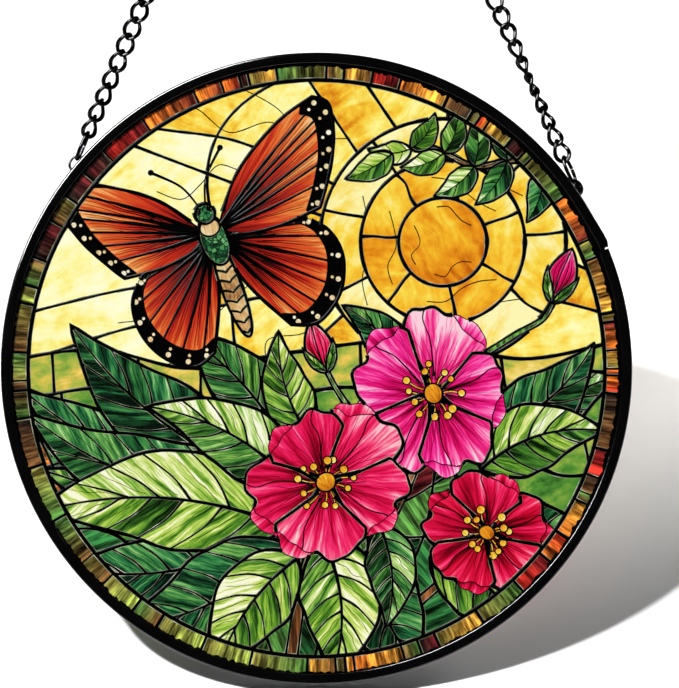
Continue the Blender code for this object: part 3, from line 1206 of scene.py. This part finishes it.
materials["picture_blossoms"] = streaky_glass(
    "streaky pink glass",
    (0.62, 9.0, 1.2),
    dict(Fine=0.36, Broad=0.50, Along=0.42),
    [
        (0.0, 0.020, 0.000, 0.005), (0.18, 0.10, 0.000, 0.015), (0.36, 0.36, 0.001, 0.050),
        (0.54, 0.66, 0.004, 0.14), (0.72, 0.84, 0.030, 0.29), (0.86, 0.90, 0.20, 0.47),
        (1.0, 0.92, 0.62, 0.72),
    ],
    [
        (0.0, 0.020, 0.000, 0.001), (0.18, 0.10, 0.000, 0.003), (0.36, 0.34, 0.001, 0.008),
        (0.54, 0.64, 0.004, 0.030), (0.72, 0.82, 0.018, 0.080), (0.86, 0.88, 0.12, 0.20),
        (1.0, 0.90, 0.52, 0.52),
    ],
)
materials["picture_stamens"] = streaky_glass(
    "golden glass",
    (0.5, 3.0, 0.5),
    dict(Fine=0.5, Along=0.4),
    [
        (0.0, 0.32, 0.05, 0.003), (0.4, 0.72, 0.26, 0.010), (0.75, 0.82, 0.52, 0.04),
        (1.0, 0.85, 0.74, 0.25),
    ],
)
PETAL_STEPS = 16
# The petals' places round the flower, in the order in which they overlap
PETAL_ORDER = (0, 2, 4, 1, 3)
STAMENS = 12


def blossom(centre, radius, turn, tilt, tilt_along, tone, shade, seed):
    """An open flower, seen a little from one side: tilt squeezes it along one direction."""
    draws = random.Random(seed)
    centre = Vector(centre)
    lean = Matrix.Rotation(math.radians(tilt_along), 2)
    squeeze = lean @ Matrix(((tilt, 0), (0, 1))) @ lean.inverted()

    def put(r, degrees):
        return centre + squeeze @ polar((0, 0), r, degrees)

    for number in PETAL_ORDER:
        middle = turn + 72 * number + draws.uniform(-5, 5)
        length = radius * draws.uniform(0.93, 1.07)
        spread = draws.uniform(39, 45)
        wave = draws.uniform(0, 6)

        def on_petal(share, s):
            return put(length * share, middle + spread * s)

        def edge(step, share=1.0):
            s = step / PETAL_STEPS
            notch = 0.10 * math.exp(-((s / 0.18) ** 2))
            ruffle = 0.020 * math.sin(9 * s + wave) + 0.012 * math.sin(17 * s + 2 * wave)
            return on_petal((1 - notch - 0.25 * abs(s) ** 3.2 + ruffle) * share, s)

        outer = [edge(step) for step in range(-PETAL_STEPS, PETAL_STEPS + 1)]
        heart = put(radius * 0.06, middle)
        first = curve_through([heart, on_petal(0.42, -0.92), outer[0]])
        last = curve_through([outer[-1], on_petal(0.42, 0.92), heart])
        folds = []
        for s in (-0.78, -0.55, -0.3, -0.1, 0.14, 0.34, 0.58, 0.8):
            s += draws.uniform(-0.05, 0.05)
            ends = draws.uniform(0.45, 0.86)
            bow = draws.uniform(-0.1, 0.1)
            points = [on_petal(0.16, s * 0.5), on_petal(0.45, s * 0.85 + bow), on_petal(ends, s)]
            folds.append((curve_through(points), draws.uniform(0.08, 0.22), 0.04))
        s = draws.choice((-0.4, 0.0, 0.35))
        points = [on_petal(0.2, s * 0.6), on_petal(0.6, s), on_petal(0.86, s + 0.12), on_petal(1.04, s)]
        low = tone + draws.uniform(-0.09, 0.09)
        from_heart = away_from(put(-2.5, middle))
        draw(
            "picture_blossoms",
            first[:-1] + outer + last[1:-1],
            from_heart,
            level(low - 0.08, low + 0.10, seed + number),
            level(shade - 0.15, shade + 0.15, seed),
            line=0.50,
            splits=[(curve_through(points), 0.27, 0.16)],
            folds=folds,
        )
        # The petal's rim is turned over on one side, where it catches more light.
        way = draws.choice((-1, 1))
        over = [edge(way * step) for step in range(1, PETAL_STEPS - 1)]
        for step in range(PETAL_STEPS - 3, 1, -1):
            fold = 1 - 0.16 * math.sin(math.pi * (step - 1) / (PETAL_STEPS - 3))
            over.append(edge(way * step, fold))
        tones = level(low + 0.08, low + 0.16, seed)
        shades = level(shade - 0.15, shade + 0.15, seed)
        draw("picture_blossoms", over, from_heart, tones, shades, line=0.16)
    for number in range(STAMENS):
        degrees = 360 * number / STAMENS + draws.uniform(-9, 9)
        root = put(radius * 0.07, degrees)
        end = put(radius * draws.uniform(0.24, 0.38), degrees + draws.uniform(-9, 9))
        thread = ribbon([root, root.lerp(end, 0.5) + (end - root).orthogonal() * 0.08, end], 0.34, 0.30)
        draw("picture_stamens", thread, away_from(root), level(0.35, 0.7, number), line=0.13)
        size = draws.uniform(1.05, 1.45)
        # Each anther's grain starts off to one side of it, so that it is painted lighter on one side and
        # darker on the other: painted light and shade.
        lit_from = away_from(end - Vector((size, -size)) * 1.6)
        draw("picture_stamens", circle(end, size, 14), lit_from, level(0.5, 0.85, number), line=0.17)
    heart = [put(radius * 0.12, 15 * step) for step in range(24)]
    # The heart's grain also starts off to one side, as painted light and shade across it.
    lit_from = away_from(centre + Vector((2.5, -3.5)))
    draw("picture_stamens", heart, lit_from, level(0.35, 0.45, 1), line=0.28)


def bud(base, tip, half_width, tone, shade, seed):
    """A closed bud: folded petals in a green cup."""
    base, tip = Vector(base), Vector(tip)
    axis = tip - base
    side = Vector((-axis.y, axis.x)).normalized() * half_width

    def edge(t, way):
        return base + axis * t + side * way * math.sin(math.pi * t**0.8) ** 0.8

    folds = []
    for s in (-0.55, -0.25, 0.3, 0.6):
        folds.append((curve_through([edge(0.1, s * 0.4), edge(0.5, s), edge(0.9, s * 0.7)]), 0.22, 0.08))
    split = (curve_through([edge(0.02, 0.6), edge(0.5, 0.12), edge(0.99, -0.3)]), 0.3, 0.2)
    draw(
        "picture_blossoms",
        [edge(step / 14, 1) for step in range(14)] + [edge(1 - step / 14, -1) for step in range(14)],
        away_from(base - axis * 0.6),
        level(tone - 0.12, tone + 0.12, seed),
        lambda at: shade,
        line=0.42,
        splits=[split],
        folds=folds,
    )
    for way in (-1, 1):
        tip = base + axis * 0.55 + side * way * 1.15
        leaf(base - axis * 0.08, tip, 1.5, way * 0.8, 0.42, 0.7, 2, seed)


stem(((40, -4), (62, 10), (72, 16), (76, 24)), 1.0, 0.7, STEM_GREEN, 5)
bud((75, 22), (81, 38), 4.6, 0.50, 0.3, 5)
stem(((14, -18), (6, -6), (2, 2)), 1.0, 0.6, STEM_GREEN, 6)
bud((3, 0), (-2, 15), 4.4, 0.54, 0.8, 6)
blossom((54, -52), 22, 20, 0.86, 60, 0.44, 0.9, 3)
blossom((37, -8), 27, 80, 0.90, 20, 0.60, 0.1, 1)
blossom((3, -36), 27, 48, 0.92, 120, 0.50, 0.6, 2)


# --------------------------------------
# The butterfly
# Four wings of rust, red and orange glass with dark veins that taper from the root, a black edge with
# pale spots, and a body of small green and cream scales.

BUTTERFLY = (
    Matrix.Translation((-31, 37, 0)) @ Matrix.Rotation(math.radians(20), 4, "Z") @ Matrix.Scale(1.06, 4)
)
LEFT_WINGS = 0.88
SPOTS = 7
materials["picture_wings"] = streaky_glass(
    "rust red glass",
    (0.55, 14.0, 0.8),
    dict(Fine=0.34, Broad=0.30, Along=0.62),
    [
        (0.0, 0.008, 0.003, 0.003), (0.18, 0.060, 0.004, 0.003), (0.36, 0.26, 0.008, 0.006),
        (0.54, 0.52, 0.026, 0.010), (0.70, 0.66, 0.10, 0.020), (0.85, 0.76, 0.27, 0.06),
        (1.0, 0.82, 0.54, 0.26),
    ],
)
materials["picture_cream"] = streaky_glass(
    "cream glass",
    (0.5, 3.0, 0.6),
    dict(Fine=0.5, Mottle=0.4),
    [
        (0.0, 0.20, 0.07, 0.02), (0.4, 0.62, 0.36, 0.13), (0.8, 0.80, 0.68, 0.42),
        (1.0, 0.84, 0.80, 0.68),
    ],
)


def scale_glass():
    """Small green scales with dark gaps, like cracked enamel."""
    made, tree, shader, brush = glass("scaly green glass", 0.5, 3.0, 0.5)
    scales = {"Vector": add(tree, "TexCoord").outputs["Object"], "Scale": 780.0}
    edges = add(tree, "TexVoronoi", scales, feature="DISTANCE_TO_EDGE").outputs["Distance"]
    tint = add(tree, "SeparateColor", {0: add(tree, "TexVoronoi", scales).outputs["Color"]}).outputs[0]
    value = weigh(tree, brush["Tone"], [(tint, 0.8), (brush["Mottle"], 0.3)])
    stops = [
        (0.0, 0.008, 0.04, 0.016), (0.4, 0.02, 0.16, 0.05), (0.7, 0.12, 0.38, 0.13),
        (1.0, 0.52, 0.70, 0.36),
    ]
    gaps = between(tree, edges, 0.03, 0.12)
    colour = mix_colour(tree, gaps, (0.003, 0.006, 0.003, 1), ramp(tree, value, stops))
    tree.links.new(colour, shader.inputs["Base Color"])
    return made


materials["picture_scales"] = scale_glass()
materials["picture_dark_edge"] = ink


def on_butterfly(x, y, way=1):
    return (BUTTERFLY @ Vector((x * way, y, 0))).to_2d()


def wing(way, root, leading, margin, trailing, veins, tone, seed):
    """One wing: three smooth edges that start and end at its root, a black edge with pale spots, and
    veins from the root. way is 1 for the right wing and -1 for the left one."""

    def put(point):
        return on_butterfly(point[0] * (1.0 if way > 0 else LEFT_WINGS), point[1], way)

    start = put(root)
    from_root = away_from(start)
    front = curve_through([start, *map(put, leading)])
    outer = curve_through([front[-1], *map(put, margin)])
    back = curve_through([outer[-1], *map(put, trailing), start])
    draw("picture_dark_edge", front[:-1] + outer[:-1] + back[:-1], from_root, plain, line=0.6)
    inner = [start.lerp(point, 0.87) for point in outer]
    inside = [start.lerp(point, 0.985) for point in front[:-4]] + inner
    inside += [start.lerp(point, 0.97) for point in back[3:-1]]

    def on_wing(share, around):
        return start.lerp(inner[round(around * (len(inner) - 1))], share)

    splits = []
    for around in veins:
        end = on_wing(1, around)
        bow = Vector((start.y - end.y, end.x - start.x)) * 0.06 * (0.5 - around) * way
        points = curve_through([start, start.lerp(end, 0.5) + bow, start.lerp(end, 1.02)])
        splits.append((points, 0.85, 0.26))
    folds = []
    for first, second in zip((0.0,) + veins, veins + (1.0,)):
        for share in (0.3, 0.5, 0.7):
            around = first + (second - first) * share
            ends = (on_wing(0.35 + 0.3 * abs(share - 0.5), around), on_wing(0.95, around))
            folds.append((wavy(*ends, 0.25, seed), 0.16, 0.06))
    tones = level(tone - 0.09, tone + 0.09, seed)
    draw("picture_wings", inside, from_root, tones, line=0.27, splits=splits, folds=folds)
    for number in range(SPOTS):
        at = outer[round((number + 0.5) / SPOTS * (len(outer) - 1))]
        for share, size in ((0.96, 0.95), (0.91, 0.62)):
            spot = circle(start.lerp(at, share), size, 12)
            draw("picture_cream", spot, from_root, level(0.6, 0.9, number), line=0.10)


FOREWING = dict(
    root=(1.8, 6.0),
    leading=((13, 20), (29, 30), (42, 34)),
    margin=((46, 30), (43.5, 19), (38, 9), (33, 2)),
    trailing=((20, 1), (8, 2.5)),
    veins=(0.05, 0.16, 0.28, 0.42, 0.58, 0.78),
)
HINDWING = dict(
    root=(1.8, 3.2),
    leading=((14, 3), (27, 1)),
    margin=((33, -5), (34.5, -14), (30, -24), (21, -30), (13, -28)),
    trailing=((6, -15), (2.5, -5)),
    veins=(0.08, 0.24, 0.40, 0.56, 0.72, 0.88),
)
for way in (-1, 1):
    wing(way, tone=0.46, seed=5 + way, **HINDWING)
    wing(way, tone=0.52, seed=9 + way, **FOREWING)


def butterfly_body():
    rings = []
    for ring in range(7):
        across = [on_butterfly(x, -5 - 3.2 * ring - 0.10 * (4 - abs(x)) ** 2) for x in range(-4, 5)]
        rings.append(even(across, 0.32))
    round_it = circle((0, 0), 1, 36)
    # Each part's centre and half sizes, where its grain starts, its tones, its seed, line and splits
    for name, y, half_width, half_height, grain, low, high, seed, line, splits in (
        ("picture_cream", -12, 3.1, 15, 8, 0.2, 0.5, 2, 0.45, rings),
        ("picture_scales", 3.5, 4.3, 7.6, -6, 0.3, 0.5, 3, 0.5, ()),
        ("picture_cream", 7.6, 3.1, 2.6, 1, 0.5, 0.7, 3, 0.3, ()),
        ("picture_scales", 12, 3.0, 3.0, 3, 0.4, 0.6, 4, 0.45, ()),
    ):
        oval = [on_butterfly(half_width * at.x, y + half_height * at.y) for at in round_it]
        from_centre = away_from(on_butterfly(0, grain))
        draw(name, oval, from_centre, level(low, high, seed), line=line, splits=splits)
    for way in (-1, 1):
        feeler = [on_butterfly(1, 14.5, way), on_butterfly(4, 22, way), on_butterfly(11, 29, way)]
        for outline, line in (
            (circle(on_butterfly(1.9, 13.2, way), 0.9, 12), 0.2),
            (ribbon(feeler, 0.16, 0.34), 0.12),
            (circle(feeler[-1], 0.8, 12), 0.15),
        ):
            draw("picture_dark_edge", outline, away_from((0, 0)), plain, line=line)


butterfly_body()


# --------------------------------------
# The picture's tiles
# What was laid over what is worked out once: each visible bit of glass between two lines becomes one
# tile, as thick as the pane, so that the picture shows on both faces.

# Tiles with a smaller area than this, in square millimetres, are only gaps between lines.
SLIVER = 0.7
# Points closer together than this, in millimetres, are one point.
SAME_POINT = 1e-4


def cut_up():
    """The drawing as one net of triangles, with each one's tile, and the lines that are left visible."""
    points, edges, faces = [], [], []
    lines, steps = [], []

    def add_line(path, shape, kind, widths):
        lines.append(SimpleNamespace(shape=shape, kind=kind, widths=widths, count=len(path) - 1))
        for step, pair in enumerate(zip(path, path[1:])):
            edges.append(pair)
            steps.append((len(lines) - 1, step))

    def add_points(path):
        points.extend(path)
        return list(range(len(points) - len(path), len(points)))

    for number, shape in enumerate(drawing):
        ring = add_points(shape.outline)
        faces.append(ring)
        add_line(ring + ring[:1], number, "outline", (shape.line, shape.line))
        for kind, group in (("split", shape.splits), ("fold", shape.folds)):
            for path, *widths in group:
                add_line(add_points(path), number, kind, widths)
    cut = delaunay_2d_cdt(points, edges, faces, 0, SAME_POINT, True)
    made, net, triangles, _, from_edges, from_faces = cut
    owner = [max(given) if 0 in given else -1 for given in from_faces]
    beside = {}
    for number, triangle in enumerate(triangles):
        for a, b in zip(triangle, triangle[1:] + triangle[:1]):
            beside.setdefault((min(a, b), max(a, b)), []).append(number)
    root = list(range(len(triangles)))

    def find(number):
        while root[number] != number:
            root[number] = root[root[number]]
            number = root[number]
        return number

    visible = {}
    for (a, b), given in zip(net, from_edges):
        sides = beside.get((min(a, b), max(a, b)), [])
        owners = [owner[side] for side in sides]
        if len(sides) < 2 or max(owners) < 0:
            continue
        top = max(owners)
        inner = owners[0] == owners[1]
        parted = not inner
        for edge in given:
            if edge >= len(edges):
                continue
            line, step = steps[edge]
            if lines[line].shape != top or (lines[line].kind == "outline") == inner:
                continue
            start, end = (points[index] for index in edges[edge])
            run = end - start
            at = [(made[index] - start).dot(run) / run.length_squared for index in (a, b)]
            near, far = (a, b) if at[0] < at[1] else (b, a)
            visible.setdefault(line, []).append((step + min(at), near, far, step + max(at)))
            parted = parted or lines[line].kind == "split"
        if not parted:
            root[find(sides[0])] = find(sides[1])
    tiles = {}
    for number, triangle in enumerate(triangles):
        if owner[number] >= 0:
            tiles.setdefault((owner[number], find(number)), []).append(triangle)
    runs = []
    for line, parts in visible.items():
        parts.sort()
        for near_at, near, far, far_at in parts:
            if runs and runs[-1].line is lines[line] and runs[-1].path[-1][0] == near:
                runs[-1].path.append((far, far_at))
            else:
                runs.append(SimpleNamespace(line=lines[line], path=[(near, near_at), (far, far_at)]))
    return made, tiles, runs


net_points, tiles, runs = cut_up()


def area(triangle):
    a, b, c = (net_points[index] for index in triangle)
    return abs((b - a).cross(c - a)) / 2


def picture_pieces():
    draws = random.Random(8)
    by_name = {}
    for (number, _), triangles in tiles.items():
        name = drawing[number].name if sum(map(area, triangles)) > SLIVER else "picture_dark_edge"
        by_name.setdefault(name, []).append((drawing[number], triangles))
    for name, found in by_name.items():
        shape = bmesh.new()
        layers = tile_layers(shape)
        for source, triangles in found:
            corners = {index for triangle in triangles for index in triangle}
            verts = {index: shape.verts.new((*net_points[index], -DEPTH)) for index in sorted(corners)}
            for triangle in triangles:
                shape.faces.new([verts[index] for index in triangle])
            middle = sum((net_points[index] for index in corners), Vector((0, 0))) / len(corners)
            grain, tone, seed = source.grain(middle), source.tone(middle), draws.random()
            shade, colour = source.shade(middle), source.colour(middle)
            mark_tile(layers, list(verts.values()), grain, tone, seed, shade, colour)
        raise_tiles(shape, 2 * DEPTH)
        pane_piece(name, shape, materials[name], smooth=30)


picture_pieces()


# --------------------------------------
# The black lines
# Lines of thick black print stand a little proud of the glass, as lead does. They swell where they
# meet. Beside the wider ones runs a thin pale edge, a painted highlight that stands for the glint on the
# glass pieces' edges.

LINE_HEIGHT = 0.36
GLINT_HEIGHT = 0.07
GLINT_EXTRA = 0.15
SWELL = 0.45
SWELL_LENGTH = 1.6
UNEVENNESS = 0.22
UNEVEN_LENGTH = 6
RAGGED_LENGTH = 4
RAGGED_LOW = 0.25
RAGGED_SPAN = 1.65
WIDE_LINE = 0.28


def width_at(run, number):
    """Half the line's width at one of its points."""
    index, at = run.path[number]
    place = net_points[index]
    start, end = run.line.widths
    share = at / run.line.count
    hand = 1 + UNEVENNESS * noise.noise(Vector((*place / UNEVEN_LENGTH, run.line.shape)))
    swell = 0.0
    if run.line.kind != "fold":
        gap = min((place - net_points[run.path[end][0]]).length for end in (0, -1))
        swell = SWELL * math.exp(-gap / SWELL_LENGTH)
    return (start + (end - start) * share) * hand * (1 + swell)


def line_piece(name, chosen, extra, height, roundness, material):
    """Tubes along the runs, flattened to this share of their width, on both faces. They have four sides,
    and two more for each step of roundness. Any extra width comes and goes."""
    curve = bpy.data.curves.new(name, "CURVE")
    curve.dimensions = "3D"
    curve.twist_mode = "Z_UP"
    curve.bevel_depth = 1.0
    curve.bevel_resolution = roundness
    curve.use_fill_caps = True
    for run in chosen:
        spline = curve.splines.new("POLY")
        spline.points.add(len(run.path) - 1)
        for number, (index, _) in enumerate(run.path):
            place = net_points[index]
            spline.points[number].co = (place.x, place.y, 0, 1)
            ragged = RAGGED_LOW + RAGGED_SPAN * abs(noise.noise(Vector((*place / RAGGED_LENGTH, 9))))
            spline.points[number].radius = width_at(run, number) + extra * ragged
    holder = new_object(name, curve)
    bpy.context.view_layer.update()
    mesh = bpy.data.meshes.new_from_object(holder.evaluated_get(bpy.context.evaluated_depsgraph_get()))
    bpy.data.objects.remove(holder)
    shape = bmesh.new()
    shape.from_mesh(mesh)
    bpy.data.meshes.remove(mesh)
    bmesh.ops.scale(shape, vec=(1, 1, height), verts=shape.verts)
    bmesh.ops.translate(shape, vec=(0, 0, DEPTH), verts=shape.verts)
    both_faces(shape)
    pane_piece(name, shape, material, 60)


# Which lines have a pale edge beside them, a painted highlight of the glass's edge.
def has_painted_glint(run):
    name = drawing[run.line.shape].name
    if name == "picture_blossoms":
        return run.line.kind == "outline"
    return name not in ("picture_dark_edge", "picture_wings")


wide_runs, thin_runs = [], []
for run in runs:
    wide = run.line.kind != "fold" and max(run.line.widths) > WIDE_LINE
    (wide_runs if wide else thin_runs).append(run)
line_piece("black_lines", wide_runs, 0.0, LINE_HEIGHT, 1, ink)
line_piece("hair_lines", thin_runs, 0.0, LINE_HEIGHT, 0, ink)
# The pale edges beside the wider lines are painted highlights, standing for the glint on the glass pieces'
# edges.
line_piece("painted_edge_glints", list(filter(has_painted_glint, wide_runs)), GLINT_EXTRA, GLINT_HEIGHT, 1, painted_glint_print)

# The circle that closes the picture, and the pale edge inside it, painted as a highlight
for name, radius, half_width, height, material in (
    ("circle_line", PICTURE_RADIUS + 0.1, 0.62, LINE_HEIGHT, ink),
    ("circle_glint", PICTURE_RADIUS - 0.45, 0.22, GLINT_HEIGHT, painted_glint_print),
):
    shape = bmesh.new()
    bmesh.ops.create_circle(shape, segments=12, radius=1.0)
    bmesh.ops.scale(shape, vec=(half_width, height * half_width, 1), verts=shape.verts)
    bmesh.ops.rotate(shape, matrix=Matrix.Rotation(math.pi / 2, 3, "X"), verts=shape.verts)
    bmesh.ops.translate(shape, vec=(radius, 0, DEPTH), verts=shape.verts)
    spin(shape, (0, 0, 1), 2 * math.pi, CIRCLE_STEPS, True)
    both_faces(shape)
    pane_piece(name, shape, material, 60)
